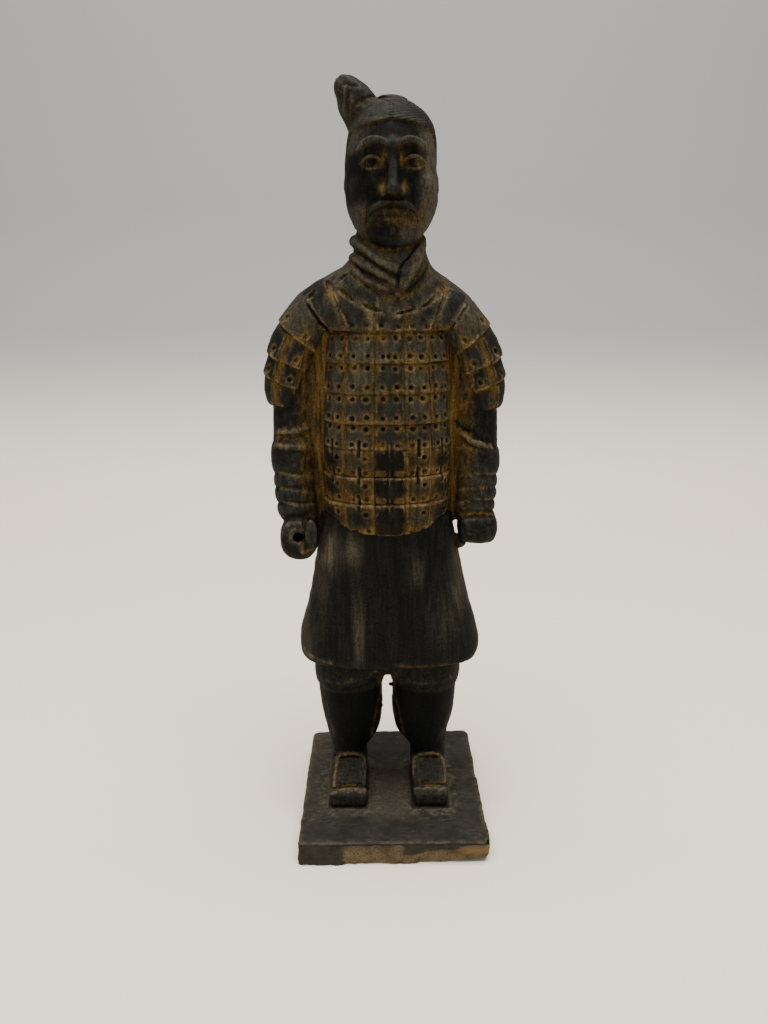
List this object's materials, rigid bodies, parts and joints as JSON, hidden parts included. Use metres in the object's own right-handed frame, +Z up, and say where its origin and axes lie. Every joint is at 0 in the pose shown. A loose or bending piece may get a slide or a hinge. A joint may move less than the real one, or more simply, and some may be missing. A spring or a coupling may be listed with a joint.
{
  "type": "terracotta warrior statuette",
  "caption": "Standing armoured foot soldier in blackened fired clay on a square plinth: plated cuirass and shoulder guards, flared skirt, neck cloth, topknot, fists at the sides.",
  "frame": {"origin": "centre of the plinth's flat underside", "axes": "+Z up, the soldier faces -Y, the soldier's right side is at -X"},
  "size_m": [0.096, 0.083, 0.3],
  "materials": {
    "blackened_clay": "fired clay blackened with slip, ochre wash left in the hollows and pale wear on the edges, matt",
    "plinth_clay": "fired clay brushed with dark slip, rubbed, bare light-brown clay on the broken front face, matt"
  },
  "bodies": {
    "root": {"figure": "blackened_clay", "plinth": "plinth_clay"}
  },
  "joints": []
}
